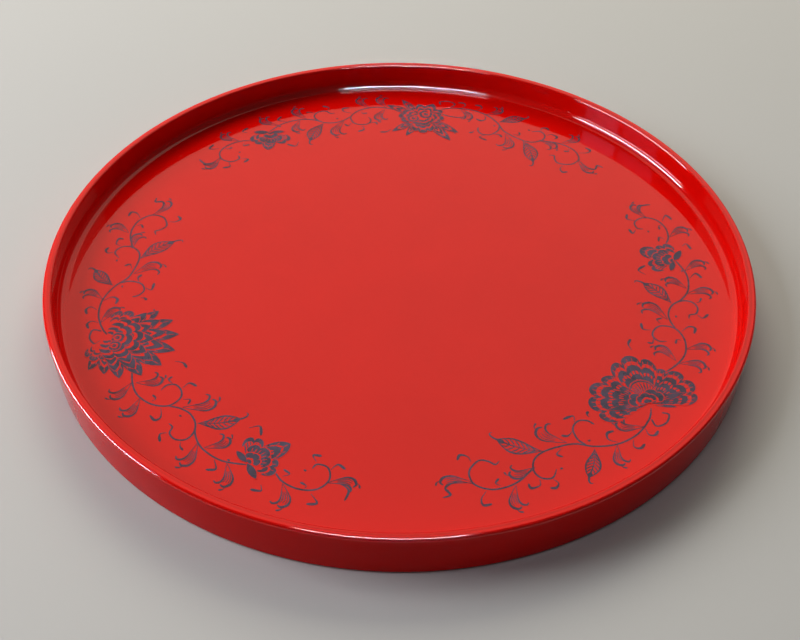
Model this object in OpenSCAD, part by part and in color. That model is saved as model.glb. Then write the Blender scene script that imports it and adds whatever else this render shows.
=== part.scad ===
// Round lacquered serving tray, built from two bent wooden hoops, a housed floor panel and a pegged foot ring.
// The tray stands on z = 0 with its centre on the Z axis. Sizes are in millimetres and degrees.

/* [Tray] */
// Outside diameter of the tray
tray_d = 360; // [280:1:460]
// Height of the tray, from what it stands on to the top of its rim
tray_h = 23.5; // [19:0.5:45]

/* [Hoops] */
// Thickness of the outer hoop
outer_hoop_t = 2.3; // [2:0.1:5]
// Thickness of the inner hoop
inner_hoop_t = 2.2; // [2:0.1:5]
// Radius on the outer edge of the rim
rim_outer_round = 1.5; // [0.4:0.1:1.9]
// Radius on the inner edge of the rim
rim_inner_round = 1.2; // [0.4:0.1:1.9]
// Radius on the bottom outside edge
heel_round = 1.5; // [0.4:0.1:1.9]

/* [Floor] */
// Thickness of the floor panel
floor_t = 5; // [3:0.5:8]
// Radius of the hollow fillet between the floor and the wall
cove_r = 4.5; // [2:0.1:8]
// Thickness of the fillet's thin edges
cove_edge_t = 0.1; // [0.05:0.01:0.3]

/* [Foot] */
// Height of the foot ring under the floor panel
foot_h = 3.5; // [2:0.5:6]
// Width of the foot ring
foot_w = 10; // [6:0.5:20]
// Radius on the foot ring's inner bottom edge
foot_round = 0.8; // [0.2:0.1:1.5]
// Number of pegs through the foot ring
peg_count = 12; // [4:1:24]
// Diameter of a peg
peg_d = 2; // [1.5:0.1:4]
// How far a peg goes up into the floor panel
peg_grip = 2; // [1:0.5:2.5]

/* [Fits] */
// Gap left in each glued joint
glue_gap = 0; // [0:0.01:0.1]
// Gap left all round each peg
peg_gap = 0; // [0:0.01:0.1]

/* [Print] */
// Thickness of the ink that stands on the floor
ink_t = 0.15; // [0.1:0.05:0.4]
// From the wall's inner face to the middle line of the vine
print_inset = 35.5; // [32:0.5:45]
// Width of the vine's stems
stem_w = 0.8; // [0.4:0.1:1.5]
// Bearing of the right-hand spray's middle
right_bearing = -30.3; // [-35:0.1:-25]
// Bearing of the back spray's middle
back_bearing = 89.5; // [85:0.1:95]
// Bearing of the left-hand spray's middle
left_bearing = 209.4; // [205:0.1:215]

/* [Hidden] */
$fn = 180;

lacquer_red = [0.78, 0.13, 0.09];
ink_slate = [0.25, 0.24, 0.30];
peg_wood = [0.76, 0.62, 0.42];

outer_r = tray_d / 2;
hoop_bore_r = outer_r - outer_hoop_t;
glued_r = hoop_bore_r - glue_gap;
wall_r = glued_r - inner_hoop_t;
floor_bottom = foot_h + glue_gap;
floor_top = floor_bottom + floor_t;
peg_circle_r = glued_r - foot_w / 2;
peg_l = foot_h + glue_gap + peg_grip;
cut_over = 1;

// The sprays were drawn round a middle line of this radius, and are scaled to the tray's own.
drawn_r = 140;
print_r = wall_r - print_inset;
print_k = print_r / drawn_r;
steps_per_span = 4;
disc_fn = 32;

// Stems of one spray: [bearing from the spray's middle in degrees, millimetres out from the middle line].
first_scroll = [
    [-42, -4.5], [-43.5, -7.5], [-46, -4.5], [-46.5, 1], [-45, 7.5], [-42, 9.5], [-39, 9], [-36, 5.5]
];
trough_stem = [
    [-31, 9], [-33, 12], [-35, 9.5], [-35, 4], [-34, 0], [-30.5, -2], [-27, -1], [-24, 5],
    [-20.5, 12], [-16, 15.5], [-11, 14]
];
middle_scroll = [
    [-24, 1.5], [-24, -3], [-22, -7], [-20, -5.5], [-20, -2]
];
crest_stem = [
    [4, 10], [7, 11], [10, 9], [12, 4], [12, -3], [10, -7], [8, -5], [7.5, -2]
];
rising_scroll = [
    [13, 3], [16, 1], [19, 2.5], [20.5, 7], [19.5, 13], [17.5, 14], [17, 12]
];
arch_stem = [
    [21.5, 7], [24, 11], [28, 12.5], [31, 10]
];
last_scroll = [
    [39, 4], [42, 7], [45, 6], [47.5, 0], [46.5, -6.5], [44, -8], [43.5, -4]
];
STEMS = [
    first_scroll, trough_stem, middle_scroll, crest_stem, rising_scroll, arch_stem, last_scroll
];

// Leaves: [bearing, out from the middle line, direction of its tip from outward, length, width].
LEAVES = [
    [-34.5, -6, -120, 17, 6.5], [-25.5, 8, -75, 15, 5.5], [22.5, -1, 145, 17, 6]
];

// Buds: [bearing, out from the middle line, diameter].
BUDS = [
    [-46.5, 13.5, 3], [-46.5, -10, 3.5], [-39.5, 16, 3.5], [-37.5, 0, 3.5], [-29, 2, 2.5],
    [-21.5, 16.5, 3], [-18, 4.5, 2.5], [-15, 17, 2.5], [-16, 8.5, 3], [-28.5, -9, 4],
    [5, 17, 3], [10, 17, 3], [5, 1, 4], [13.5, 7, 2.5], [17, 18.5, 2.5], [16.5, -8, 4],
    [23.5, 16.5, 3], [26.5, 4.5, 4], [31.5, 17, 3], [36.5, 15, 2.5], [41.5, 14.5, 4],
    [51, 0, 4], [48.5, -11, 3], [-51, 1.5, 4], [31.5, -13.5, 3], [10, -12, 3]
];

// Where the two blooms of a spray stand.
big_bloom_at = [-5.5, 2];
small_bloom_at = [35, -2];

// Blooms: rings of petals, each [number, start radius, length, width, turn of the first petal].
peony_rings = [[9, 12.5, 7, 8, 0], [7, 5.5, 6, 5.5, 20], [5, 0.6, 4, 3, 0]];
lotus_rings = [[13, 12, 8.5, 5, 0], [10, 5.5, 6, 3.6, 18], [6, 0.6, 4, 2.2, 0]];
star_rings = [[7, 9, 12, 7.5, 10], [7, 3.4, 5, 3.4, 35], [4, 0.6, 2.4, 1.8, 0]];
half_open_rings = [[6, 5, 6, 5.5, 0], [5, 0.8, 3.6, 3, 20]];
pointed_rings = [[8, 5, 6.5, 4, 0], [5, 0.8, 3.6, 2.4, 20]];
five_lobe_rings = [[5, 4, 7, 7, 0], [5, 0.8, 2.6, 2, 36]];

function on_ring(p) = let (r = (drawn_r + p[1]) * print_k) [r * cos(p[0]), r * sin(p[0])];

// A point between b and c of the smooth curve through a, b, c and d.
function smooth(a, b, c, d, t) =
    0.5 * (2 * b + (c - a) * t + (2 * a - 5 * b + 4 * c - d) * t * t + (3 * b - a - 3 * c + d) * t * t * t);

function curve(p) = let (last = len(p) - 1) [
    for (i = [0 : last - 1])
        for (s = [0 : steps_per_span - 1])
            smooth(p[max(i - 1, 0)], p[i], p[i + 1], p[min(i + 2, last)], s / steps_per_span),
    p[last]
];

function across(q, i) =
    let (last = len(q) - 1, d = q[min(i + 1, last)] - q[max(i - 1, 0)]) [-d[1], d[0]] / norm(d);

// A stem's half width: full along the middle and thin at both ends.
function half_w(i, last) = stem_w / 2 * print_k * (0.3 + 0.7 * sin(180 * i / last));

module ring(inner, outer, low, high) {
    translate([inner, low])
        square([outer - inner, high - low]);
}

// What a rounding of radius r takes off a square corner at p that points along sx and sy.
module corner_cut(p, r, sx, sy) {
    translate(p)
        scale([sx, sy, 1])
            difference() {
                translate([-r, -r])
                    square(r + cut_over);
                translate([-r, -r])
                    circle(r);
            }
}

module outer_hoop() {
    color(lacquer_red)
        rotate_extrude()
            difference() {
                ring(hoop_bore_r, outer_r, 0, tray_h);
                corner_cut([outer_r, tray_h], rim_outer_round, 1, 1);
                corner_cut([outer_r, 0], heel_round, 1, -1);
            }
}

module inner_hoop() {
    color(lacquer_red)
        rotate_extrude()
            difference() {
                ring(wall_r, glued_r, floor_top + glue_gap, tray_h);
                corner_cut([wall_r, tray_h], rim_inner_round, -1, 1);
            }
}

module peg_places() {
    for (i = [0 : peg_count - 1])
        rotate([0, 0, (i + 0.5) * 360 / peg_count])
            translate([peg_circle_r, 0, 0])
                children();
}

module peg_holes() {
    peg_places()
        translate([0, 0, -cut_over])
            cylinder(h = peg_l + cut_over, r = peg_d / 2 + peg_gap);
}

module floor_panel() {
    color(lacquer_red)
        difference() {
            translate([0, 0, floor_bottom])
                cylinder(h = floor_t, r = glued_r);
            peg_holes();
        }
}

module cove_bead() {
    color(lacquer_red)
        rotate_extrude()
            difference() {
                ring(wall_r - cove_r, wall_r, floor_top, floor_top + cove_r);
                translate([wall_r - cove_r, floor_top + cove_r])
                    circle(cove_r - cove_edge_t);
            }
}

module foot_ring() {
    color(lacquer_red)
        difference() {
            rotate_extrude()
                difference() {
                    ring(glued_r - foot_w, glued_r, 0, foot_h);
                    corner_cut([glued_r - foot_w, 0], foot_round, -1, -1);
                }
            peg_holes();
        }
}

module foot_ring_pegs() {
    color(peg_wood)
        peg_places()
            cylinder(h = peg_l, r = peg_d / 2);
}

module stem(points) {
    q = curve([for (p = points) on_ring(p)]);
    last = len(q) - 1;
    linear_extrude(ink_t)
        polygon([
            for (i = [0 : last]) q[i] + across(q, i) * half_w(i, last),
            for (i = [last : -1 : 0]) q[i] - across(q, i) * half_w(i, last)
        ]);
}

// A pointed oval lying along +X from the origin, between two equal arcs.
module pointed_oval(l, w) {
    arc_r = (l * l + w * w) / (4 * w);
    translate([l / 2, 0, 0])
        intersection() {
            translate([0, w / 2 - arc_r, 0])
                cylinder(h = ink_t, r = arc_r);
            translate([0, arc_r - w / 2, 0])
                cylinder(h = ink_t, r = arc_r);
        }
}

module placed(p, turn) {
    rotate([0, 0, p[0]])
        translate([(drawn_r + p[1]) * print_k, 0, 0])
            rotate([0, 0, turn])
                children();
}

module bloom(rings) {
    for (g = rings)
        for (i = [0 : g[0] - 1])
            rotate([0, 0, g[4] + i * 360 / g[0]])
                translate([g[1] * print_k, 0, 0])
                    pointed_oval(g[2] * print_k, g[3] * print_k);
}

module spray(bearing, big_rings, small_rings) {
    color(ink_slate)
        translate([0, 0, floor_top])
            rotate([0, 0, bearing]) {
                for (s = STEMS)
                    stem(s);
                for (f = LEAVES)
                    placed([f[0], f[1]], f[2])
                        pointed_oval(f[3] * print_k, f[4] * print_k);
                for (b = BUDS)
                    placed([b[0], b[1]], 0)
                        cylinder(h = ink_t, d = b[2] * print_k, $fn = disc_fn);
                placed(big_bloom_at, 0)
                    bloom(big_rings);
                placed(small_bloom_at, 0)
                    bloom(small_rings);
            }
}

module spray_right() {
    spray(right_bearing, peony_rings, half_open_rings);
}

module spray_back() {
    spray(back_bearing, star_rings, five_lobe_rings);
}

module spray_left() {
    spray(left_bearing, lotus_rings, pointed_rings);
}

outer_hoop();
inner_hoop();
floor_panel();
cove_bead();
foot_ring();
foot_ring_pegs();
spray_right();
spray_back();
spray_left();
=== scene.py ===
"""A round red lacquered serving tray with a printed vine border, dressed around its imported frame."""

import logging
import math
from collections.abc import Callable, Sequence
from dataclasses import dataclass, field
from enum import Enum

import bmesh
import bpy
from mathutils import Matrix, Vector


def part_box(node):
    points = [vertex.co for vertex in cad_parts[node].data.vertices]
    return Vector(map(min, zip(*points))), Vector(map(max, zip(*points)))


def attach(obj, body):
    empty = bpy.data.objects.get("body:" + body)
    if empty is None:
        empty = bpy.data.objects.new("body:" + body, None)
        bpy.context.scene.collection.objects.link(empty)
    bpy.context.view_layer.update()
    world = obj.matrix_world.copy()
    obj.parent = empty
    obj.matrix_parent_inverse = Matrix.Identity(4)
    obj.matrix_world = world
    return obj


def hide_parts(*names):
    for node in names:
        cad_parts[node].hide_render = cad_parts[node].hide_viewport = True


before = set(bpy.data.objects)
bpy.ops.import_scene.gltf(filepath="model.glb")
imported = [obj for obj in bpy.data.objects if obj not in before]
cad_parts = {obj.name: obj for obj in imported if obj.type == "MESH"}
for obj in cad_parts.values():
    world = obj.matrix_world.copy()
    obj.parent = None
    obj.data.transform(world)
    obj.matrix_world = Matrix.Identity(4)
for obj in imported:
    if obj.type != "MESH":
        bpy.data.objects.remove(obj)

log = logging.getLogger("tray")
MM = 0.001
ROOT = "root"
LARGE_FACES_LEAD = 100
LACQUER_IOR = 1.5
INK_IOR = 1.45

# Where the Mix node keeps its share, its two colours and its colour result.
MIX_SHARE, MIX_FIRST_COLOUR, MIX_SECOND_COLOUR, MIX_COLOUR_OUT = 0, 6, 7, 2

Spot = tuple[float, float]
Colour = tuple[float, float, float]


# ---------------------------------------------------------------- finishes


class NodeSheet:
    """A small helper that adds and links the nodes of one material."""

    def __init__(self, name: str) -> None:
        """Start a material with an empty node tree.

        Args:
            name: the material's name.
        """
        self.material = bpy.data.materials.new(name)
        self.material.use_nodes = True
        self.tree = self.material.node_tree
        self.tree.nodes.clear()
        self.place = self.add("ShaderNodeTexCoord").outputs["Object"]

    def add(self, kind: str, settings: dict[str, object] | None = None, **inputs: object) -> bpy.types.Node:
        """Add a node.

        Args:
            kind: the node's type name.
            settings: properties of the node to set.
            **inputs: values or output sockets for its inputs, with underscores for spaces.

        Returns:
            The new node.
        """
        node = self.tree.nodes.new(kind)
        for key, value in (settings or {}).items():
            setattr(node, key, value)
        for key, value in inputs.items():
            socket = node.inputs[key.replace("_", " ")]
            if isinstance(value, bpy.types.NodeSocket):
                self.tree.links.new(value, socket)
            else:
                socket.default_value = value
        return node

    def noise(self, scale: float, detail: float = 2.0, rough: float = 0.5,
              stretch: tuple[float, float, float] = (1, 1, 1)) -> bpy.types.NodeSocket:
        """Noise on the object's own coordinates, as a value from 0 to 1.

        Args:
            scale: how many noise cells there are in a metre.
            detail: how many finer layers it has.
            rough: how strong the finer layers are.
            stretch: scale along each axis.

        Returns:
            The noise's output.
        """
        spread = self.add("ShaderNodeMapping", Vector=self.place, Scale=stretch)
        made = self.add("ShaderNodeTexNoise", Vector=spread.outputs[0], Scale=scale, Detail=detail,
                        Roughness=rough)
        return made.outputs["Fac"]

    def ramp(self, value: bpy.types.NodeSocket, low: float, high: float,
             to_low: float, to_high: float) -> bpy.types.NodeSocket:
        """Map a value from one range to another, clamped.

        Args:
            value: what is mapped.
            low: the value that gives to_low.
            high: the value that gives to_high.
            to_low: the first result.
            to_high: the last result.

        Returns:
            The mapped output.
        """
        mapped = self.add("ShaderNodeMapRange", From_Min=low, From_Max=high, To_Min=to_low,
                          To_Max=to_high, Value=value)
        return mapped.outputs["Result"]

    def total(self, first: bpy.types.NodeSocket, second: bpy.types.NodeSocket) -> bpy.types.NodeSocket:
        """Add two values.

        Args:
            first: the one value.
            second: the other value.

        Returns:
            Their sum.
        """
        node = self.add("ShaderNodeMath", {"operation": "ADD"})
        self.tree.links.new(first, node.inputs[0])
        self.tree.links.new(second, node.inputs[1])
        return node.outputs[0]

    def blend(self, share: bpy.types.NodeSocket, first: object, second: object) -> bpy.types.NodeSocket:
        """Mix two colours.

        Args:
            share: how much of the second there is, from 0 to 1.
            first: a colour or a colour output.
            second: a colour or a colour output.

        Returns:
            The mixed colour.
        """
        node = self.tree.nodes.new("ShaderNodeMix")
        node.data_type = "RGBA"
        self.tree.links.new(share, node.inputs[MIX_SHARE])
        for index, value in ((MIX_FIRST_COLOUR, first), (MIX_SECOND_COLOUR, second)):
            if isinstance(value, bpy.types.NodeSocket):
                self.tree.links.new(value, node.inputs[index])
            else:
                node.inputs[index].default_value = (*value, 1.0)
        return node.outputs[MIX_COLOUR_OUT]

    def bump(self, height: bpy.types.NodeSocket, distance: float, strength: float = 1.0,
             below: bpy.types.NodeSocket | None = None) -> bpy.types.NodeSocket:
        """Turn a height into a bent normal.

        Args:
            height: the height, from 0 to 1.
            distance: how high a height of 1 is, in metres.
            strength: how strongly it shows.
            below: the normal of the bump underneath, if there is one.

        Returns:
            The normal.
        """
        node = self.add("ShaderNodeBump", Height=height, Distance=distance, Strength=strength)
        if below is not None:
            self.tree.links.new(below, node.inputs["Normal"])
        return node.outputs["Normal"]

    def finish(self, **inputs: object) -> bpy.types.Material:
        """Close the material with its surface shader.

        Args:
            **inputs: the shader's inputs, with underscores for spaces.

        Returns:
            The finished material.
        """
        surface = self.add("ShaderNodeBsdfPrincipled", **inputs)
        out = self.add("ShaderNodeOutputMaterial")
        self.tree.links.new(surface.outputs["BSDF"], out.inputs["Surface"])
        return self.material


@dataclass(frozen=True)
class Grain:
    """A noise pattern, and the part of its range that counts as none up to all of it."""

    scale: float
    detail: float = 2.0
    rough: float = 0.5
    stretch: tuple[float, float, float] = (1, 1, 1)
    none: float = 0.0
    full: float = 1.0

    def raw(self, sheet: NodeSheet) -> bpy.types.NodeSocket:
        """The noise as it comes."""
        return sheet.noise(self.scale, self.detail, self.rough, self.stretch)

    def spread(self, sheet: NodeSheet, low: float = 0.0, high: float = 1.0) -> bpy.types.NodeSocket:
        """The noise mapped from its own range to another.

        Args:
            sheet: the material that it is added to.
            low: the result where there is none of it.
            high: the result where there is all of it.

        Returns:
            The mapped output.
        """
        return sheet.ramp(self.raw(sheet), self.none, self.full, low, high)


@dataclass(frozen=True)
class RedLacquer:
    """Gloss red lacquer over wood: deep colour, faint orange peel, dust nibs and fine rubbing marks.

    Gloss and rubbing are roughnesses, and wave, ripple and nib are heights in metres.
    """

    name: str
    red: Colour = (0.66, 0.0020, 0.0008)
    deep: Colour = (0.635, 0.0016, 0.0006)
    gloss: float = 0.035
    haze: float = 1.8
    rubbing: float = 0.03
    wave: float = 0.000032
    ripple: float = 0.000004
    nib: float = 0.00002
    shine: float = 0.5
    clouds: Grain = Grain(18.0, 3.0, 0.6, none=0.35, full=0.65)
    hazes: Grain = Grain(60.0, 4.0, 0.7, none=0.3, full=0.75)
    rubs: Grain = Grain(90.0, 3.0, 0.6, stretch=(1, 14, 1), none=0.62, full=0.74)
    waves: Grain = Grain(45.0, 1.0, 0.4)
    ripples: Grain = Grain(420.0)
    nibs: Grain = Grain(520.0, 0.0, none=0.77, full=0.84)

    def build(self) -> bpy.types.Material:
        """Make the lacquer.

        Returns:
            The finished material.
        """
        sheet = NodeSheet(self.name)
        colour = sheet.blend(self.clouds.spread(sheet), self.red, self.deep)
        haze = self.hazes.spread(sheet, self.gloss, self.gloss * self.haze)
        rubbed = self.rubs.spread(sheet, 0.0, self.rubbing)
        roughness = sheet.total(haze, rubbed)
        waves = sheet.bump(self.waves.raw(sheet), self.wave)
        peel = sheet.bump(self.ripples.raw(sheet), self.ripple, below=waves)
        nibs = sheet.bump(self.nibs.spread(sheet), self.nib, below=peel)
        return sheet.finish(Base_Color=colour, Roughness=roughness, IOR=LACQUER_IOR,
                            Specular_IOR_Level=self.shine, Normal=nibs)


@dataclass(frozen=True)
class SlateInk:
    """Slate-blue printing ink that lies unevenly, so the red under it shows through in places."""

    name: str = "slate_ink"
    slate: Colour = (0.062, 0.046, 0.098)
    dark: Colour = (0.026, 0.022, 0.048)
    thin: Colour = (0.16, 0.018, 0.030)
    worn_most: float = 0.9
    smoothest: float = 0.22
    roughest: float = 0.42
    tooth: float = 0.00001
    tooth_strength: float = 0.6
    bodies: Grain = Grain(130.0, 3.0, 0.6, none=0.35, full=0.65)
    wear: Grain = Grain(520.0, 4.0, 0.7, none=0.56, full=0.74)
    teeth: Grain = Grain(2600.0)
    sheen: Grain = Grain(300.0, none=0.3, full=0.7)

    def build(self) -> bpy.types.Material:
        """Make the ink.

        Returns:
            The finished material.
        """
        sheet = NodeSheet(self.name)
        body = sheet.blend(self.bodies.spread(sheet), self.slate, self.dark)
        colour = sheet.blend(self.wear.spread(sheet, 0.0, self.worn_most), body, self.thin)
        tooth = sheet.bump(self.teeth.raw(sheet), self.tooth, self.tooth_strength)
        roughness = self.sheen.spread(sheet, self.smoothest, self.roughest)
        return sheet.finish(Base_Color=colour, Roughness=roughness, IOR=INK_IOR, Normal=tooth)


@dataclass(frozen=True)
class PegWood:
    """End grain of a pale wooden peg."""

    name: str = "peg_wood"
    light: Colour = (0.56, 0.36, 0.17)
    dark: Colour = (0.36, 0.20, 0.08)
    roughness: float = 0.6
    pore: float = 0.00004
    pores: Grain = Grain(900.0, 4.0, 0.6, stretch=(1, 1, 0.1), none=0.3, full=0.7)

    def build(self) -> bpy.types.Material:
        """Make the wood.

        Returns:
            The finished material.
        """
        sheet = NodeSheet(self.name)
        colour = sheet.blend(self.pores.spread(sheet), self.light, self.dark)
        normal = sheet.bump(self.pores.raw(sheet), self.pore)
        return sheet.finish(Base_Color=colour, Roughness=self.roughness, Normal=normal)


@dataclass(frozen=True)
class StudioPaper:
    """Pale matt paper for the studio floor."""

    name: str = "studio_floor"
    tone: Colour = (0.48, 0.49, 0.50)
    roughness: float = 0.8

    def build(self) -> bpy.types.Material:
        """Make the paper.

        Returns:
            The finished material.
        """
        sheet = NodeSheet(self.name)
        return sheet.finish(Base_Color=(*self.tone, 1.0), Roughness=self.roughness)


# ---------------------------------------------------------------- shapes


def add_object(name: str, bm: bmesh.types.BMesh, material: bpy.types.Material) -> bpy.types.Object:
    """Link a new object with a bmesh's shape.

    Args:
        name: the object's name.
        bm: its shape, which is freed.
        material: its finish.

    Returns:
        The new object.
    """
    mesh = bpy.data.meshes.new(name)
    bm.to_mesh(mesh)
    bm.free()
    mesh.materials.append(material)
    made = bpy.data.objects.new(name, mesh)
    bpy.context.scene.collection.objects.link(made)
    return made


def add_piece(name: str, bm: bmesh.types.BMesh, material: bpy.types.Material, slot: str,
              *nodes: str) -> bpy.types.Object:
    """Add a piece of the tray that stands for nodes of the frame.

    Args:
        name: the piece's name.
        bm: its shape, which is freed.
        material: its finish.
        slot: the name of a record's material slot; not used.
        *nodes: the frame's nodes that it replaces.

    Returns:
        The new piece.
    """
    piece = add_object(name, bm, material)
    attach(piece, ROOT)
    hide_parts(*nodes)
    log.info("%s: %d faces", name, len(piece.data.polygons))
    return piece


def shade_smooth(piece: bpy.types.Object, degrees: float = 35.0) -> None:
    """Shade a piece smooth with sharp edges past an angle, so that its flats stay flat.

    Args:
        piece: the piece to shade.
        degrees: the angle between faces past which an edge stays sharp.
    """
    piece.data.shade_smooth()
    piece.data.set_sharp_from_angle(angle=math.radians(degrees))
    weighted = piece.modifiers.new("weighted_normals", "WEIGHTED_NORMAL")
    weighted.keep_sharp = True
    weighted.weight = LARGE_FACES_LEAD


@dataclass(frozen=True)
class TrayMeasures:
    """The tray's radii and heights in metres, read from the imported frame."""

    outer_r: float
    joint_r: float
    wall_r: float
    rim_z: float
    floor_z: float
    cove_r: float

    @classmethod
    def from_frame(cls) -> "TrayMeasures":
        """Read the measures from the boxes of the frame's nodes.

        Returns:
            The measures.
        """
        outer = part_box("outer_hoop")[1]
        cove_low, cove_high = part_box("cove_bead")
        return cls(
            outer_r=outer.x,
            joint_r=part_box("inner_hoop")[1].x,
            wall_r=cove_high.x,
            rim_z=outer.z,
            floor_z=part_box("floor_panel")[1].z,
            cove_r=cove_high.z - cove_low.z,
        )


@dataclass
class LacqueredBody:
    """The hoops, cove, floor and foot of the tray, each turned from its section.

    The side of the outer hoop is rubbed to a softer gloss than its rim. The rim has a finish of its own:
    the same lacquer in a brighter red, which is painted highlight for the light on the rim's top.
    """

    measures: TrayMeasures
    outer_finish: bpy.types.Material
    # painted highlight: the same lacquer in a brighter red, for the lit rim top
    rim_painted_light_finish: bpy.types.Material
    inner_finish: bpy.types.Material
    floor_finish: bpy.types.Material
    foot_finish: bpy.types.Material
    peg_finish: bpy.types.Material
    rim_outer_round: float = 1.5 * MM
    rim_inner_round: float = 1.2 * MM
    heel_round: float = 1.5 * MM
    feather: float = 0.01 * MM
    lip: float = 0.4 * MM
    steps_around: int = 384
    steps_in_round: int = 8
    steps_in_cove: int = 16

    def turn(self, bm: bmesh.types.BMesh) -> None:
        """Spin a section's edges once round the Z axis into a closed ring.

        Args:
            bm: the section, which becomes the ring.
        """
        bmesh.ops.spin(
            bm, geom=list(bm.edges) + list(bm.verts), cent=(0, 0, 0), axis=(0, 0, 1), dvec=(0, 0, 0),
            angle=math.tau, steps=self.steps_around, use_merge=True, use_duplicate=False,
        )
        bmesh.ops.recalc_face_normals(bm, faces=list(bm.faces))

    def section(self, corners: Sequence[tuple[float, float, float]]) -> bmesh.types.BMesh:
        """Draw a closed half section with rounded corners.

        Args:
            corners: radius, height and rounding of each corner.

        Returns:
            The section's outline.
        """
        bm = bmesh.new()
        verts = [bm.verts.new((r, 0.0, z)) for r, z, _ in corners]
        bm.faces.new(verts)
        for vert, (_, _, rounding) in zip(verts, corners):
            if rounding > 0:
                bmesh.ops.bevel(
                    bm, geom=[vert], offset=rounding, offset_type="OFFSET", segments=self.steps_in_round,
                    profile=0.5, affect="VERTICES", material=-1,
                )
        bmesh.ops.delete(bm, geom=list(bm.faces), context="FACES_ONLY")
        return bm

    def outer_hoop(self) -> None:
        """Turn the outer hoop."""
        m = self.measures
        bm = self.section([
            (m.joint_r, 0.0, 0.0),
            (m.outer_r, 0.0, self.heel_round),
            (m.outer_r, m.rim_z, self.rim_outer_round),
            (m.joint_r, m.rim_z, 0.0),
        ])
        self.turn(bm)
        # The outer rounding and the top of the hoop get the rim finish, whose brighter red is painted
        # highlight.
        for face in bm.faces:
            face.material_index = int(face.calc_center_median().z > m.rim_z - self.rim_outer_round)
        hoop = add_piece("outer_hoop_lacquered", bm, self.outer_finish, "hoop_lacquer", "outer_hoop")
        hoop.data.materials.append(self.rim_painted_light_finish)
        shade_smooth(hoop)

    def inner_hoop(self) -> None:
        """Turn the inner hoop."""
        m = self.measures
        bm = self.section([
            (m.wall_r, m.floor_z, 0.0),
            (m.joint_r, m.floor_z, 0.0),
            (m.joint_r, m.rim_z, 0.0),
            (m.wall_r, m.rim_z, self.rim_inner_round),
        ])
        self.turn(bm)
        shade_smooth(add_piece("inner_hoop_lacquered", bm, self.inner_finish, "hoop_lacquer", "inner_hoop"))

    def cove(self) -> None:
        """Turn the hollow fillet between the floor and the wall, with a thin lip onto each."""
        m = self.measures
        low = m.floor_z + self.feather
        inside = m.wall_r - self.feather
        arc_x = inside - m.cove_r
        arc_z = low + m.cove_r
        bm = bmesh.new()
        start = bm.verts.new((arc_x, 0.0, low))
        bmesh.ops.spin(
            bm, geom=[start], cent=(arc_x, 0, arc_z), axis=(0, 1, 0), dvec=(0, 0, 0),
            angle=-math.pi / 2, steps=self.steps_in_cove, use_merge=False, use_duplicate=False,
        )
        end = max(bm.verts, key=lambda v: v.co.z)
        corners = [
            (arc_x - self.lip, low), (arc_x - self.lip, m.floor_z), (m.wall_r, m.floor_z),
            (m.wall_r, arc_z + self.lip), (inside, arc_z + self.lip),
        ]
        chain = [start, *(bm.verts.new((r, 0.0, z)) for r, z in corners), end]
        for one, next_one in zip(chain, chain[1:]):
            bm.edges.new((one, next_one))
        self.turn(bm)
        shade_smooth(add_piece("cove_bead_lacquered", bm, self.floor_finish, "floor_lacquer", "cove_bead"))

    def build(self) -> None:
        """Turn the pieces and dress the frame's own floor, foot and pegs."""
        self.outer_hoop()
        self.inner_hoop()
        self.cove()
        for node, finish in (("floor_panel", self.floor_finish), ("foot_ring", self.foot_finish),
                             ("foot_ring_pegs", self.peg_finish)):
            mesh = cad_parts[node].data
            mesh.materials.clear()
            mesh.materials.append(finish)


# ---------------------------------------------------------------- the printed border

LEAST_WIDTH_SHARE = 0.06
# A tuft's two edges and its tip, in shares of its length ahead of its base and of its bulge to the left.
TUFT_OUTER = ((0.02, 0.06), (0.30, 0.56), (0.62, 1.0), (0.88, 0.86), (0.99, 0.30), (0.90, -0.06))
TUFT_INNER = ((0.0, 0.0), (0.34, 0.08), (0.62, 0.12), (0.80, -0.10), (0.86, -0.52), (0.76, -0.78))
TUFT_TIP = ((0.98, 0.5), (1.10, 0.3), (1.14, -0.1))
# Where a leaf's edges and its rib pass, in shares of its length, and the hook that the rib ends in.
LEAF_EDGE = (0.0, 0.08, 0.25, 0.45, 0.65, 0.82, 0.94, 1.0)
LEAF_RIB = (0.0, 0.3, 0.6, 0.9)
LEAF_HOOK = ((1.08, 0.15), (1.16, 0.6), (1.12, 1.0))
# The powers that lean a leaf's widest place back from its tip and make its ends pointed.
LEAF_LEAN, LEAF_POINT = 1.3, 1.1
# A vein runs ahead of its root and out across the leaf. The roots start at VEINS_FROM, over VEINS_OVER.
LEAF_VEIN = ((0.0, 0.0), (0.06, 0.45), (0.15, 0.92))
VEINS_FROM, VEINS_OVER = 0.14, 0.66
# How far in along its shoulders a fan starts, the power that rounds them, and how near its base it comes.
SHOULDER_START, SHOULDER_ROUND, NEAREST = 0.14, 0.35, 0.05
# The last place across a fan that still counts as in its last petal.
LAST_PLACE = 0.9999
# The bands of a small round heart.
SEEDS = ((1.0, 0.62), (0.36, 0.05))


class StrokeKind(Enum):
    """How the width of a stroke runs from its start to its end."""

    STEM = "stem"
    COMMA = "comma"
    LEAFLET = "leaflet"

    def share(self, t: float) -> float:
        """The share of the full width at a place along the stroke.

        Args:
            t: the place along the stroke, from 0 to 1.

        Returns:
            The share, never quite nothing.
        """
        if self is StrokeKind.STEM:
            blunt, taper = 0.35, 0.08
            share = min(1.0, blunt + t / taper, blunt + (1 - t) / taper)
        elif self is StrokeKind.COMMA:
            tail, head, swelling = 0.18, 0.72, 1.7
            swell = tail + (1 - tail) * min(t / head, 1.0) ** swelling
            share = swell * math.sqrt(max(0.0, 1 - max(0.0, (t - head) / (1 - head)) ** 2))
        else:
            fullness = 0.7
            share = math.sin(math.pi * t) ** fullness
        return max(share, LEAST_WIDTH_SHARE)


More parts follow.
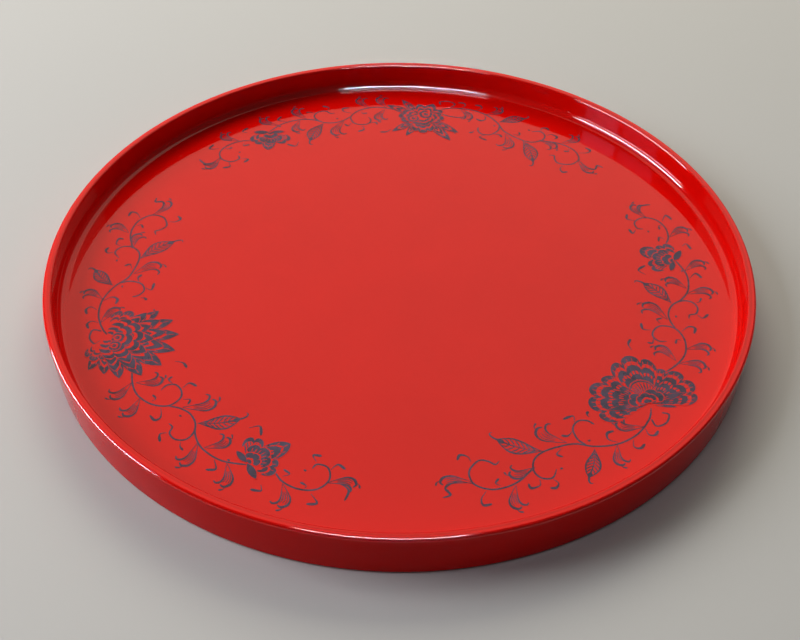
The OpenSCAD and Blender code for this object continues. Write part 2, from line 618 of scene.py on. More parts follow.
class PetalEdge(Enum):
    """How a fan's outer edge is cut: how deep the cuts are, and two powers of their shape."""

    ROUND = (0.15, 2.0, 0.5)
    POINTED = (0.28, 1.0, 0.7)
    LONG = (0.60, 1.0, 0.85)

    def cut(self, u: float) -> float:
        """The share of the fan's length at a place across one lobe.

        Args:
            u: the place across the lobe, from -1 to 1.

        Returns:
            The share of the length.
        """
        depth, power, rise = self.value
        return 1 - depth + depth * max(0.0, 1 - abs(u) ** power) ** rise


@dataclass(frozen=True)
class Stroke:
    """One brush stroke: its kind, its full width in millimetres and the spots that it passes through."""

    kind: StrokeKind
    width: float
    spots: tuple[Spot, ...]


@dataclass(frozen=True)
class Plume:
    """A hatched tuft with curling edges that springs from a stem. Lengths are in millimetres."""

    base: Spot
    aim: float
    length: float
    bulge: float
    hatches: int = 3

    def strand(self, side: float) -> list[Spot]:
        """The run of one strand, in millimetres ahead of the base and to its left.

        Args:
            side: 0 for the inner edge and 1 for the outer edge, with the hatching between them.

        Returns:
            The places that the strand passes.
        """
        return [
            ((ahead + (outer_ahead - ahead) * side) * self.length,
             (left + (outer_left - left) * side) * self.bulge)
            for (ahead, left), (outer_ahead, outer_left) in zip(TUFT_INNER, TUFT_OUTER)
        ]

    def tip(self) -> list[Spot]:
        """The run of the hook at the tip, in the same way."""
        return [(ahead * self.length, left * self.bulge) for ahead, left in TUFT_TIP]


@dataclass(frozen=True)
class Leaf:
    """A hatched leaf with a hooked tip. Lengths are in millimetres."""

    base: Spot
    aim: float
    length: float
    width: float
    bend: float
    hook: float
    veins: int = 7

    def blade(self, t: float, across: float) -> Spot:
        """A place on the blade, in millimetres ahead of the base and to its left.

        Args:
            t: how far along the blade it is, from 0 to 1.
            across: how far across, from -1 at the right edge to 1 at the left edge.

        Returns:
            How far ahead and how far to the left it is.
        """
        middle = self.bend * math.sin(math.pi * t)
        half = self.width / 2 * math.sin(math.pi * t ** LEAF_LEAN) ** LEAF_POINT
        return t * self.length, middle + across * half

    def rib(self) -> list[Spot]:
        """The run of the midrib and the hook that it ends in, in the same way."""
        hook = [(ahead * self.length, left * self.hook) for ahead, left in LEAF_HOOK]
        return [self.blade(t, 0.0) for t in LEAF_RIB] + hook


@dataclass(frozen=True)
class PetalFan:
    """A fan of petals round a base, drawn as nested bands. Lengths are in millimetres."""

    base: Spot
    aim: float
    spread: float
    length: float
    lobes: int
    edge: PetalEdge = PetalEdge.ROUND
    bands: tuple[Spot, ...] = ((1.0, 0.72), (0.66, 0.42), (0.36, 0.12))
    hatches: int = 0
    cuts: int = 4

    def radius(self, t: float) -> float:
        """The distance of the fan's edge from its base.

        Args:
            t: how far across the fan, from 0 to 1.

        Returns:
            The distance in millimetres.
        """
        u = 2 * (min(t, LAST_PLACE) * self.lobes % 1.0) - 1
        shoulder = math.sin(math.pi * (SHOULDER_START + (1 - 2 * SHOULDER_START) * t)) ** SHOULDER_ROUND
        return self.length * shoulder * self.edge.cut(u)

    def place(self, t: float, share: float, grow: float = 0.0) -> Spot:
        """A place in the fan, in millimetres along the border and outward from the base.

        Args:
            t: how far across the fan, from 0 to 1.
            share: the share of the way from the base to the edge.
            grow: how much further out it is, in millimetres.

        Returns:
            How far along and how far outward it is.
        """
        angle = math.radians(self.aim + self.spread * (t - 0.5))
        reach = max(self.radius(t) * share + grow, NEAREST)
        return reach * math.cos(angle), reach * math.sin(angle)


class BloomKind(Enum):
    """The kinds of bloom that the three sprays carry."""

    PEONY = "peony"
    LOTUS = "lotus"
    STAR = "star"


@dataclass(frozen=True)
class VineDrawing:
    """The vine that all three sprays share.

    A spot is degrees from the spray's middle and millimetres outward. Widths and dot_bow are in
    millimetres, and dot_half is in degrees.
    """

    stem_width: float = 0.85
    heavy_width: float = 1.4
    light_width: float = 1.1
    dot_width: float = 1.0
    dot_half: float = 0.3
    dot_bow: float = 0.2

    def stems(self) -> list[Stroke]:
        """The scrolling stems.

        Returns:
            Their strokes.
        """
        routes = (
            ((-40.2, -5.0), (-41.3, -3.6), (-42.3, -6.2), (-44, -7.7), (-46.2, -4), (-46.7, 0.4),
             (-46.1, 5.0), (-43.8, 8.7), (-41, 9.3), (-38.3, 7.8), (-35.4, 4.1)),
            ((-31.7, 9.1), (-33.3, 12.3), (-35, 10.2), (-35.4, 5.2), (-34, 0), (-31.5, -1.8), (-28, -0.6),
             (-25.4, 1.9), (-23, 7.9), (-19.5, 13.3), (-15.4, 15.5), (-11.3, 14.2), (-8.8, 11.2)),
            ((-24, 5), (-24.4, 0.3), (-23.4, -5.6), (-21.3, -7.4), (-19.8, -5), (-19.4, -1.4)),
            ((0.5, 7), (4.1, 10.6), (7.3, 11.9), (10.7, 9.5), (13, 4), (12.9, -2.6), (11.3, -5.6),
             (9.3, -5.5), (8.3, -2), (8.8, 1.8)),
            ((13.1, 4.1), (15, 1), (17.3, -0.2), (19.8, 1.6), (21.3, 6), (21.4, 11), (20, 14.1),
             (18.3, 13.5), (17.6, 10.4), (16.5, 10.1)),
            ((20.2, 2.2), (22, 6.6), (25, 10.1), (29.3, 10.6), (33.6, 7)),
            ((38.9, 5.2), (41, 8.7), (44.1, 10.1), (47, 8), (48.5, 2), (47.6, -4.2), (45.4, -5),
             (44.8, -2)),
            ((-15.2, 7.6), (-14.0, 5.4), (-11.6, 5.0), (-9.6, 6.2)),
            ((-11, 15), (-11.7, 19), (-10, 21.2), (-8.2, 19.6), (-8.6, 16.5)),
        )
        return [Stroke(StrokeKind.STEM, self.stem_width, route) for route in routes]

    def commas(self) -> list[Stroke]:
        """The buds, curls and drops that stand off the stems.

        Returns:
            Their strokes, the heavy ones first.
        """
        heavy = (
            ((-44.8, 9.1), (-46, 12.5), (-46, 15.8), (-44.6, 16)),
            ((-45.5, -7.8), (-45.8, -11), (-47.2, -12.6), (-48, -10)),
            ((-35.4, 10.7), (-35.9, 13.6), (-37.5, 13.5), (-37.5, 10.8)),
            ((-33.3, 13.2), (-33, 16), (-33.8, 17.6), (-34.7, 16.6)),
            ((-24, -4.5), (-25.4, -3.6), (-26.4, -5.4)),
            ((-22, -8), (-21.1, -11), (-23.4, -12.3)),
            ((-16.9, 16.3), (-17.9, 19.2), (-17.3, 21.6), (-16.1, 21.2)),
            ((-13.4, 16), (-14.1, 19.2), (-13.5, 21.4), (-12.3, 21)),
            ((-19.2, 12.6), (-20, 9), (-19.2, 6), (-17.8, 7)),
            ((12.6, 7.5), (14.3, 10.5), (14.2, 13.6), (12.7, 13.6)),
            ((3.2, -12.2), (4.6, -15), (6.4, -15)),
            ((10.9, -7.1), (10.6, -11), (12.4, -12.7)),
            ((17.9, 14.2), (17.3, 16.8), (18.6, 19.6)),
            ((28.2, 11.8), (29.7, 15.5), (28.4, 18.2)),
            ((37.9, 13.7), (38.5, 16.5), (36.8, 17.7)),
            ((46.3, 11), (47.8, 15), (46.2, 16.6)),
            ((29, -11), (30.6, -14.2), (32.2, -10)),
            ((45, -6.3), (43.9, -9.2), (45.6, -9.8)),
            ((48.2, -3.6), (49.2, -7), (50.8, -5)),
            ((-18.8, -5.8), (-18.6, -7.6), (-17.8, -8.6)),
        )
        light = (
            ((-42.1, 7.9), (-42.7, 6), (-41.8, 4)),
            ((-28.4, 0.7), (-29.8, 2.2), (-29.2, 4.8)),
            ((10.1, 8.3), (10, 6.2), (8.8, 6.2)),
            ((13.5, -3.2), (14.5, -5.5), (15.2, -3)),
            ((21.2, 13.6), (21.8, 15.4), (22.8, 16.1)),
            ((40.5, 6), (41.4, 3.8), (40, 2.4)),
            ((45, 9), (45, 7.4), (43.8, 6.5)),
            ((8.8, -4.8), (7.2, -4.5), (6.9, -6.9)),
            ((-46.4, 4.1), (-49, 1.4), (-51.4, 4), (-50.8, 7.8), (-52.2, 9)),
            ((48.6, 3.7), (50.7, 3.2), (52.3, 6), (52, 11.6)),
        )
        dots = ((-22.9, 3.8), (-30.9, 9.6), (-14.2, -12), (16.5, 3.5), (30.4, 8.5), (43.7, -0.4))
        drops = (
            ((at - self.dot_half, out), (at, out + self.dot_bow), (at + self.dot_half, out))
            for at, out in dots
        )
        return (
            [Stroke(StrokeKind.COMMA, self.heavy_width, route) for route in heavy]
            + [Stroke(StrokeKind.COMMA, self.light_width, route) for route in light]
            + [Stroke(StrokeKind.LEAFLET, self.dot_width, route) for route in drops]
        )

    def plumes(self) -> list[Plume]:
        """The tufts of curling strands.

        Returns:
            The tufts.
        """
        return [
            Plume((-46.4, 3.4), 188, 14.5, 4.4),
            Plume((-39.6, 9.8), 102, 12.5, 4.6),
            Plume((-34.8, 4.1), 192, 12.5, -4.4),
            Plume((-19.7, 13.6), 120, 11.5, 4.2),
            Plume((-26.6, -0.9), -108, 15.0, -6.0),
            Plume((-13.2, 15.0), -122, 13.0, -4.4),
            Plume((4.0, 11.0), 80, 12.5, -4.6),
            Plume((8.2, 12.0), 72, 12.0, -4.6),
            Plume((4.4, 9.2), -76, 12.5, 4.8),
            Plume((23.5, 9.0), 82, 14.0, -4.8),
            Plume((30.5, 10.4), 66, 13.0, -4.6),
            Plume((25.2, 9.2), -68, 12.0, 4.6),
            Plume((15.1, -0.2), -66, 15.5, 5.6),
            Plume((41.1, 9.6), 76, 12.5, -4.8),
            Plume((48.4, 3.6), -2, 12.5, -4.4),
        ]

    def leaves(self) -> list[Leaf]:
        """The three hatched leaves.

        Returns:
            The leaves.
        """
        return [
            Leaf((-31.6, -2.0), -134, 22.0, 7.8, -1.4, 3.4),
            Leaf((-23.4, 8.8), 142, 17.0, 6.4, -1.0, -2.6),
            Leaf((20.2, 1.2), -49, 20.0, 7.6, 1.2, -3.4),
        ]


@dataclass(frozen=True)
class BloomDrawing:
    """The petals of a spray's large and small bloom, from the back to the front."""

    kind: BloomKind

    def large(self) -> list[PetalFan]:
        """The petals of the large bloom."""
        drawings = {BloomKind.PEONY: self.peony, BloomKind.LOTUS: self.lotus, BloomKind.STAR: self.star}
        return drawings[self.kind]()

    def peony(self) -> list[PetalFan]:
        """A broad bloom with three round-edged groups of petals round a heart.

        Returns:
            Its petals.
        """
        long = PetalEdge.LONG
        heart = (-8.2, 9.0)
        rows = ((1.0, 0.88), (0.80, 0.68), (0.61, 0.50), (0.42, 0.31), (0.22, 0.10))
        cup = ((1.0, 0.66), (0.52, 0.2))
        return [
            PetalFan(heart, 60, 24, 13.0, 1, long, ((1.0, 0.06),)),
            PetalFan(heart, -119, 92, 28.5, 4, bands=rows, hatches=15),
            PetalFan(heart, 13, 84, 27.0, 4, bands=rows, hatches=13),
            PetalFan(heart, -49, 62, 31.0, 3, bands=rows, hatches=11),
            PetalFan(heart, -141, 22, 20.0, 1, long, ((1.0, 0.2),), 4),
            PetalFan(heart, 30, 24, 19.0, 1, long, ((1.0, 0.2),), 4),
            PetalFan(heart, -49, 74, 14.5, 1, bands=((1.0, 0.93),), hatches=9, cuts=0),
            PetalFan(heart, -110, 74, 9.5, 2, bands=cup, cuts=0),
            PetalFan(heart, -4, 90, 9.5, 2, bands=cup, cuts=0),
            PetalFan(heart, -52, 150, 6.4, 3, bands=((1.0, 0.6), (0.42, 0.08)), cuts=0),
        ]

    def lotus(self) -> list[PetalFan]:
        """A tall bloom of nested rows of pointed petals, with two small hearts.

        Returns:
            Its petals.
        """
        point = PetalEdge.POINTED
        heart = (-9.1, 13.2)
        tips = ((1.0, 0.84), (0.76, 0.68))
        return [
            PetalFan(heart, 12, 60, 25.0, 3, point, tips, cuts=3),
            PetalFan(heart, -56, 126, 36.0, 7, point, tips, cuts=3),
            PetalFan(heart, -134, 60, 20.5, 3, bands=tips),
            PetalFan(heart, 34, 60, 16.5, 3, bands=tips),
            PetalFan(heart, -58, 136, 29.5, 7, point, tips, cuts=0),
            PetalFan(heart, -56, 142, 23.5, 6, point, tips, cuts=0),
            PetalFan(heart, -60, 160, 18.0, 6, bands=((1.0, 0.84), (0.74, 0.62)), cuts=0),
            PetalFan(heart, -60, 190, 13.0, 5, bands=((1.0, 0.78), (0.66, 0.52)), cuts=0),
            PetalFan(heart, -60, 210, 8.4, 4, bands=((1.0, 0.74), (0.56, 0.36)), cuts=0),
            PetalFan((-8.3, 8.4), -60, 330, 3.6, 4, bands=SEEDS, cuts=0),
            PetalFan((-6.4, 11.0), -60, 330, 3.4, 4, bands=SEEDS, cuts=0),
        ]

    def star(self) -> list[PetalFan]:
        """A flat bloom with three pairs of long blades, round petals between them and two small hearts.

        Returns:
            Its petals.
        """
        point, long = PetalEdge.POINTED, PetalEdge.LONG
        heart = (-4.9, 1.3)
        blade = ((1.0, 0.84), (0.76, 0.64), (0.56, 0.46), (0.36, 0.24))
        round_petal = ((1.0, 0.80), (0.70, 0.56), (0.46, 0.3))
        return [
            PetalFan(heart, 25, 34, 26.0, 1, long, blade, 2),
            PetalFan(heart, 50, 34, 23.0, 1, long, blade, 2),
            PetalFan(heart, -45, 34, 24.5, 1, long, blade, 2),
            PetalFan(heart, -68, 34, 22.5, 1, long, blade, 2),
            PetalFan(heart, -148, 34, 27.0, 1, long, blade, 2),
            PetalFan(heart, -129, 34, 29.5, 1, long, blade, 2),
            PetalFan(heart, 110, 110, 16.0, 3, point, ((1.0, 0.80), (0.70, 0.56)), cuts=2),
            PetalFan(heart, -95, 70, 17.0, 3, bands=round_petal, cuts=2),
            PetalFan(heart, 0, 80, 15.0, 3, bands=round_petal, cuts=2),
            PetalFan(heart, 180, 80, 13.0, 3, bands=round_petal, cuts=2),
            PetalFan(heart, -80, 190, 9.0, 4, bands=((1.0, 0.76), (0.62, 0.42)), cuts=0),
            PetalFan((-5.6, 4.6), -60, 330, 4.6, 5, bands=SEEDS, cuts=0),
            PetalFan((-2.6, -0.6), -60, 330, 4.0, 5, bands=SEEDS, cuts=0),
        ]

    def small(self) -> list[PetalFan]:
        """The petals of the small bloom, which all spring from its base.

        Returns:
            Its petals.
        """
        base = (33.5, 6.0)
        long, dark = PetalEdge.LONG, ((1.0, 0.06),)
        edge = PetalEdge.ROUND if self.kind is BloomKind.PEONY else PetalEdge.POINTED
        reach = {BloomKind.PEONY: 19.0, BloomKind.LOTUS: 21.5, BloomKind.STAR: 18.0}[self.kind]
        return [
            PetalFan(base, -108, 56, 15.0, 2, bands=((1.0, 0.84),), hatches=7, cuts=0),
            PetalFan(base, -16, 64, 14.5, 2, bands=((1.0, 0.80), (0.72, 0.56)), cuts=2),
            PetalFan(base, -58, 46, reach, 1, edge, ((1.0, 0.84), (0.78, 0.62)), 5, cuts=5),
            PetalFan(base, -66, 116, 11.5, 3, bands=((1.0, 0.62),), cuts=3),
            PetalFan(base, -70, 130, 6.4, 3, bands=((1.0, 0.5), (0.34, 0.08)), cuts=0),
            PetalFan(base, -156, 54, 8.5, 1, long, dark, cuts=0),
            PetalFan(base, 34, 54, 10.0, 1, long, dark, cuts=0),
        ]


@dataclass(frozen=True)
class BorderPlane:
    """Where a spray lies: the bearing of its middle and the radius of its middle line."""

    floor_z: float
    bearing: float
    middle_r: float

    def at(self, spot: Spot, x: float = 0.0, y: float = 0.0) -> Vector:
        """The place of a spot, moved by millimetres along the border and outward.

        Args:
            spot: degrees from the spray's middle and millimetres outward from its middle line.
            x: how far to move along the border, in millimetres.
            y: how far to move outward, in millimetres.

        Returns:
            The place on the floor.
        """
        angle = math.radians(self.bearing + spot[0])
        outward = Vector((math.cos(angle), math.sin(angle), 0))
        along = Vector((-outward.y, outward.x, 0))
        place = outward * (self.middle_r + (spot[1] + y) * MM) + along * x * MM
        return place + Vector((0, 0, self.floor_z))

    def turned(self, spot: Spot, aim: float, forward: float, left: float) -> Vector:
        """The place that lies forward and to the left of a spot, seen along an aim.

        Args:
            spot: where the drawing starts.
            aim: degrees from the border's own direction towards the outside.
            forward: millimetres along the aim.
            left: millimetres to the left of the aim.

        Returns:
            The place on the floor.
        """
        c, s = math.cos(math.radians(aim)), math.sin(math.radians(aim))
        return self.at(spot, forward * c - left * s, forward * s + left * c)


def smooth_path(points: Sequence[Vector], step: float) -> list[Vector]:
    """A smooth curve through points.

    Args:
        points: what it passes through.
        step: about how far apart its own points are.

    Returns:
        The curve's points.
    """
    last = len(points) - 1
    path = []
    for i in range(last):
        a, b, c, d = points[max(i - 1, 0)], points[i], points[i + 1], points[min(i + 2, last)]
        count = max(2, round((c - b).length / step))
        for k in range(count):
            t = k / count
            path.append(0.5 * (2 * b + (c - a) * t + (2 * a - 5 * b + 4 * c - d) * t * t
                               + (3 * b - a - 3 * c + d) * t ** 3))
    path.append(points[-1].copy())
    return path


@dataclass(frozen=True)
class PenWidths:
    """The full widths of the strokes, in millimetres."""

    tuft_outer: float = 1.3
    tuft_inner: float = 1.05
    tuft_hatch: float = 0.38
    tuft_tip: float = 0.9
    leaf_edge: float = 0.9
    leaf_vein: float = 0.62
    leaf_rib: float = 1.0
    petal_cut: float = 0.4
    petal_hatch: float = 0.7


@dataclass
class InkPrint:
    """Lays flat strips of ink, and of red between them, and turns them into thin raised solids.

    The level rises with each stroke and each fan, so that later ones lie over earlier ones. The red gap
    round a fan is in millimetres, and cut_reach to thinnest are shares and a power.
    """

    plane: BorderPlane
    pens: PenWidths = PenWidths()
    level: float = 0.03 * MM
    rise: float = 0.006 * MM
    strokes_in_rise: int = 8
    step: float = 0.5 * MM
    gap: float = 0.45
    cut_reach: float = 0.6
    hatch_start: float = 0.5
    hatch_bow: float = 0.02
    band_taper: float = 0.24
    taper_power: float = 0.6
    thinnest: float = 0.05
    least_steps: int = 16
    steps_in_lobe: int = 12
    ink: bmesh.types.BMesh = field(default_factory=bmesh.new)
    gaps: bmesh.types.BMesh = field(default_factory=bmesh.new)

    def strip(self, bm: bmesh.types.BMesh, place: Callable[[float, float], Vector], steps: int) -> None:
        """Bend a flat grid, one face wide, into a strip at the present level.

        Args:
            bm: the ink or the gaps.
            place: gives the place for how far along, from 0 to 1, and across, from -1 to 1.
            steps: how many faces long the strip is.
        """
        grid = bmesh.ops.create_grid(bm, x_segments=steps, y_segments=1, size=1.0)
        for vert in grid["verts"]:
            where = place((vert.co.x + 1) / 2, vert.co.y)
            vert.co = where + Vector((0, 0, self.level))

    def brush(self, points: Sequence[Vector], width: float, kind: StrokeKind,
              red: bool = False) -> None:
        """Draw a stroke through points.

        Args:
            points: what it passes through.
            width: its full width in millimetres.
            kind: how its width runs.
            red: whether it is a red line cut into the ink.
        """
        path = smooth_path(points, self.step)
        last = len(path) - 1
        half = width * MM / 2

        def place(t: float, v: float) -> Vector:
            """A place on the stroke.

            Args:
                t: how far along it, from 0 to 1.
                v: how far across it, from -1 to 1.

            Returns:
                The place on the floor.
            """
            i = round(t * last)
            run = path[min(i + 1, last)] - path[max(i - 1, 0)]
            side = Vector((-run.y, run.x, 0)).normalized()
            return path[i] + side * v * half * kind.share(t)

        self.strip(self.gaps if red else self.ink, place, last)
        self.level += self.rise / self.strokes_in_rise

    def stroke(self, stroke: Stroke) -> None:
        """Draw a stroke of the vine."""
        self.brush([self.plane.at(spot) for spot in stroke.spots], stroke.width, stroke.kind)

    def sweep(self, drawn: Plume | Leaf, run: Sequence[Spot], width: float, kind: StrokeKind) -> None:
        """Draw a stroke that is given from the base of a tuft or a leaf, along its aim."""
        self.brush([self.plane.turned(drawn.base, drawn.aim, *place) for place in run], width, kind)

    def plume(self, plume: Plume) -> None:
        """Draw a tuft: two curling edges with heads, fine hatching between them and a hook at the tip.

        Args:
            plume: the tuft to draw.
        """
        self.sweep(plume, plume.strand(1.0), self.pens.tuft_outer, StrokeKind.COMMA)
        self.sweep(plume, plume.strand(0.0), self.pens.tuft_inner, StrokeKind.COMMA)
        for k in range(plume.hatches):
            middle_part = plume.strand((k + 1) / (plume.hatches + 1))[1:4]
            self.sweep(plume, middle_part, self.pens.tuft_hatch, StrokeKind.LEAFLET)
        self.sweep(plume, plume.tip(), self.pens.tuft_tip, StrokeKind.COMMA)

    def leaf(self, leaf: Leaf) -> None:
        """Draw a leaf: its outline, its veins, and its midrib that runs on into a hook.

        Args:
            leaf: the leaf to draw.
        """
        for side in (-1, 1):
            edge = [leaf.blade(t, side) for t in LEAF_EDGE]
            self.sweep(leaf, edge, self.pens.leaf_edge, StrokeKind.LEAFLET)
            for k in range(leaf.veins):
                root = VEINS_FROM + VEINS_OVER * k / (leaf.veins - 1)
                vein = [leaf.blade(root + ahead, out * side) for ahead, out in LEAF_VEIN]
                self.sweep(leaf, vein, self.pens.leaf_vein, StrokeKind.LEAFLET)
        self.sweep(leaf, leaf.rib(), self.pens.leaf_rib, StrokeKind.COMMA)

    def fan(self, fan: PetalFan) -> None:
        """Draw a fan of petals over what is already there, with a red line round it.

        Args:
            fan: the fan to draw.
        """
        widen = math.degrees(self.gap / fan.length) / fan.spread
        steps = max(self.least_steps, self.steps_in_lobe * fan.lobes)

        def spot(t: float, share: float, grow: float = 0.0) -> Vector:
            """The place on the floor of a place in the fan."""
            return self.plane.at(fan.base, *fan.place(t, share, grow))

        def ground(t: float, v: float) -> Vector:
            """The red under the fan and a line's width round it."""
            return spot((t - 0.5) * (1 + 2 * widen) + 0.5, (v + 1) / 2, self.gap * (v + 1) / 2)

        self.level += self.rise
        self.strip(self.gaps, ground, steps)
        self.level += self.rise
        for outer, inner in fan.bands:
            middle, half = (outer + inner) / 2, (outer - inner) / 2

            def band(t: float, v: float) -> Vector:
                """A place on a band, which narrows to next to nothing at the sides of the fan.

                Args:
                    t: how far across the fan, from 0 to 1.
                    v: how far out in the band, from -1 to 1.

                Returns:
                    The place on the floor.
                """
                taper = min(1.0, math.sin(math.pi * t) / self.band_taper) ** self.taper_power
                narrow = max(taper, self.thinnest)
                return spot(t, middle + half * (v * narrow + 1 - narrow))

            self.strip(self.ink, band, steps)
        self.cuts(fan, spot)
        self.hatches(fan, spot)

    def cuts(self, fan: PetalFan, spot: Callable[[float, float], Vector]) -> None:
        """Cut red lines into the outermost band of a fan.

        Args:
            fan: the fan.
            spot: gives the place for how far across the fan and the share of the way out.
        """
        outer, inner = fan.bands[0]
        reach = outer * self.cut_reach + inner * (1 - self.cut_reach)
        for k in range(fan.lobes * fan.cuts):
            t = (k + 0.5) / (fan.lobes * fan.cuts)
            line = [spot(t, inner), spot(t, reach)]
            self.brush(line, self.pens.petal_cut, StrokeKind.LEAFLET, red=True)

    def hatches(self, fan: PetalFan, spot: Callable[[float, float], Vector]) -> None:
        """Draw the slightly bowed hatching of a fan, from near its base to its outermost band.

        Args:
            fan: the fan.
            spot: gives the place for how far across the fan and the share of the way out.
        """
        low, high = fan.bands[-1][1] * self.hatch_start, fan.bands[0][1]
        for k in range(fan.hatches):
            t = (k + 1) / (fan.hatches + 1)
            line = [spot(t, low), spot(t + self.hatch_bow, (low + high) / 2), spot(t, high)]
            self.brush(line, self.pens.petal_hatch, StrokeKind.LEAFLET)

    @staticmethod
    def close(bm: bmesh.types.BMesh, floor_z: float) -> None:
        """Give flat strips their thickness, down to the floor.

        Args:
            bm: the strips, which become closed solids.
            floor_z: the height of the floor.
        """
        grown = bmesh.ops.extrude_face_region(bm, geom=list(bm.faces), use_keep_orig=True)["geom"]
        for vert in (g for g in grown if isinstance(g, bmesh.types.BMVert)):
            vert.co.z = floor_z
        bmesh.ops.recalc_face_normals(bm, faces=list(bm.faces))


@dataclass
class PrintedBorder:
    """The three printed sprays."""

    measures: TrayMeasures
    ink_finish: bpy.types.Material
    gap_finish: bpy.types.Material
    middle_inset: float = 35.5 * MM
    bloom_lift: float = 0.02 * MM
    sprays: tuple[tuple[str, float, BloomKind], ...] = (
        ("right", -30.3, BloomKind.PEONY),
        ("back", 89.5, BloomKind.STAR),
        ("left", 209.4, BloomKind.LOTUS),
    )

    def spray(self, side: str, bearing: float, kind: BloomKind) -> None:
        """Print one spray.

        Args:
            side: the side of the tray that it lies on.
            bearing: the direction of its middle from the tray's centre, in degrees.
            kind: the bloom that it carries.
        """
        plane = BorderPlane(self.measures.floor_z, bearing, self.measures.wall_r - self.middle_inset)
        drawing = VineDrawing()
        bloom = BloomDrawing(kind)
        parts: dict[str, Callable[[InkPrint], None]] = {
            "vine": lambda ink: [ink.stroke(s) for s in drawing.stems() + drawing.commas()],
            "plumes": lambda ink: [ink.plume(p) for p in drawing.plumes()],
            "leaves": lambda ink: [ink.leaf(leaf) for leaf in drawing.leaves()],
            "large_bloom": lambda ink: [ink.fan(f) for f in bloom.large()],
            "small_bloom": lambda ink: [ink.fan(f) for f in bloom.small()],
        }
        for part, draw in parts.items():
            ink = InkPrint(plane)
            ink.level += self.bloom_lift if "bloom" in part else 0.0
            draw(ink)
            if ink.gaps.faces:
                ink.close(ink.gaps, plane.floor_z)
                add_piece(f"{side}_{part}_gaps", ink.gaps, self.gap_finish, "floor_lacquer")
            else:
                ink.gaps.free()
            ink.close(ink.ink, plane.floor_z)
            add_piece(f"{side}_{part}", ink.ink, self.ink_finish, "slate_ink", f"spray_{side}")

    def build(self) -> None:
        """Print the three sprays."""
        for side, bearing, kind in self.sprays:
            self.spray(side, bearing, kind)


# ---------------------------------------------------------------- the studio


@dataclass(frozen=True)
class SoftLight:
    """A rectangular soft light that faces the tray.

    Radiance is how bright its face is, mirrored is whether the lacquer mirrors it, and lit is whether it
    lights what it shines on, apart from its mirror image.
    """

    name: str
    place: tuple[float, float, float]
    size: tuple[float, float]
    radiance: float
    tint: Colour = (1.0, 1.0, 1.0)
    mirrored: bool = True
    lit: bool = True


WARM: Colour = (1.0, 0.92, 0.74)
ROSE: Colour = (1.0, 0.62, 1.0)


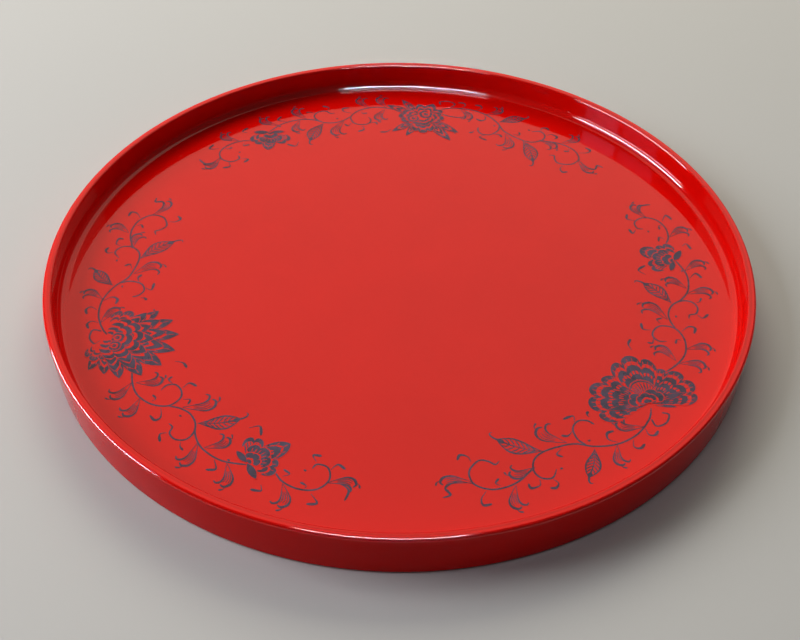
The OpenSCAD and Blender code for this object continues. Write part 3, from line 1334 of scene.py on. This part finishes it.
@dataclass(frozen=True)
class Studio:
    """A pale floor, soft lights and the camera."""

    eye: tuple[float, float, float] = (0.0, -0.4277, 0.3897)
    target: tuple[float, float, float] = (0.0004, -0.0302, 0.0)
    roll_degrees: float = 0.64
    lens_mm: float = 48.9
    sensor_mm: float = 36.0
    nearest: float = 0.01
    floor_half: float = 12.0
    sky: Colour = (1.0, 0.97, 0.9)
    sky_strength: float = 0.06
    rig: tuple[SoftLight, ...] = (
        SoftLight("overhead", (0.0, 1.45, 1.15), (1.4, 0.8), 6.2, WARM, mirrored=False),
        SoftLight("window_left", (-1.6, 0.2, 1.05), (1.0, 1.1), 8.2, mirrored=False),
        SoftLight("back_card", (0.0, 2.2, 2.4), (5.0, 3.4), 0.68, WARM),
        SoftLight("pane_near", (-1.5, -0.30, 1.15), (0.38, 0.34), 6.0, ROSE, lit=False),
        SoftLight("pane_far", (-1.5, 0.16, 1.15), (0.44, 0.34), 2.5, ROSE, lit=False),
        SoftLight("window_bar", (-1.5, -0.08, 0.53), (1.26, 0.30), 50.0, (1.0, 0.9, 1.0), lit=False),
        SoftLight("cove_strip", (-0.07, -0.44, 1.8), (0.88, 0.11), 165.0, (1.0, 0.92, 1.0), lit=False),
    )

    def link(self, name: str, data: bpy.types.ID) -> bpy.types.Object:
        """Link a new object to the scene.

        Args:
            name: the object's name.
            data: what it holds.

        Returns:
            The new object.
        """
        made = bpy.data.objects.new(name, data)
        bpy.context.scene.collection.objects.link(made)
        return made

    def facing(self, place: Vector, aim: Vector) -> Matrix:
        """The matrix of something at a place that looks at an aim."""
        turn = (aim - place).to_track_quat("-Z", "Y").to_matrix().to_4x4()
        return Matrix.Translation(place) @ turn

    def camera(self) -> None:
        """Set up the camera."""
        data = bpy.data.cameras.new("camera")
        data.lens = self.lens_mm
        data.sensor_width = self.sensor_mm
        data.clip_start = self.nearest
        cam = self.link("camera", data)
        roll = Matrix.Rotation(math.radians(self.roll_degrees), 4, "Z")
        cam.matrix_world = self.facing(Vector(self.eye), Vector(self.target)) @ roll
        bpy.context.scene.camera = cam

    def hang(self, light: SoftLight) -> None:
        """Hang one light.

        Args:
            light: the light to hang.
        """
        width, height = light.size
        data = bpy.data.lights.new(light.name, "AREA")
        data.shape = "RECTANGLE"
        data.size, data.size_y = width, height
        data.energy = light.radiance * math.pi * width * height
        data.color = light.tint
        lamp = self.link(light.name, data)
        lamp.visible_glossy = light.mirrored
        lamp.visible_diffuse = light.lit
        lamp.matrix_world = self.facing(Vector(light.place), Vector((0, 0, 0)))

    def lights(self) -> None:
        """Hang the lights and give the room its faint glow."""
        for light in self.rig:
            self.hang(light)
        world = bpy.data.worlds.new("studio")
        bpy.context.scene.world = world
        world.use_nodes = True
        back = world.node_tree.nodes["Background"]
        back.inputs["Color"].default_value = (*self.sky, 1.0)
        back.inputs["Strength"].default_value = self.sky_strength

    def floor(self) -> None:
        """Lay the studio floor."""
        bm = bmesh.new()
        bmesh.ops.create_grid(bm, x_segments=1, y_segments=1, size=self.floor_half)
        add_object("studio_floor", bm, StudioPaper().build())


def main() -> None:
    """Build the tray and the studio."""
    logging.basicConfig(level=logging.INFO, format="%(name)s %(message)s")
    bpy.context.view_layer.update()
    bpy.context.scene.view_settings.view_transform = "Standard"
    studio = Studio()
    studio.camera()
    measures = TrayMeasures.from_frame()
    log.info("measures %s", measures)
    outer_red = RedLacquer("outer_hoop_lacquer", shine=0.08).build()
    # The rim's brighter red is painted highlight: the same lacquer, lighter where the light falls on the
    # rim top.
    rim_red_painted_light = RedLacquer("rim_lacquer_painted_light", red=(0.78, 0.0025, 0.0010), deep=(0.75, 0.0020, 0.0008)).build()
    inner_red = RedLacquer("inner_hoop_lacquer").build()
    floor_red = RedLacquer("floor_lacquer").build()
    foot_red = RedLacquer("foot_lacquer", red=(0.50, 0.004, 0.002), gloss=0.16).build()
    LacqueredBody(measures, outer_red, rim_red_painted_light, inner_red, floor_red, foot_red, PegWood().build()).build()
    PrintedBorder(measures, SlateInk().build(), floor_red).build()
    studio.floor()
    studio.lights()


if __name__ == "__main__":
    main()
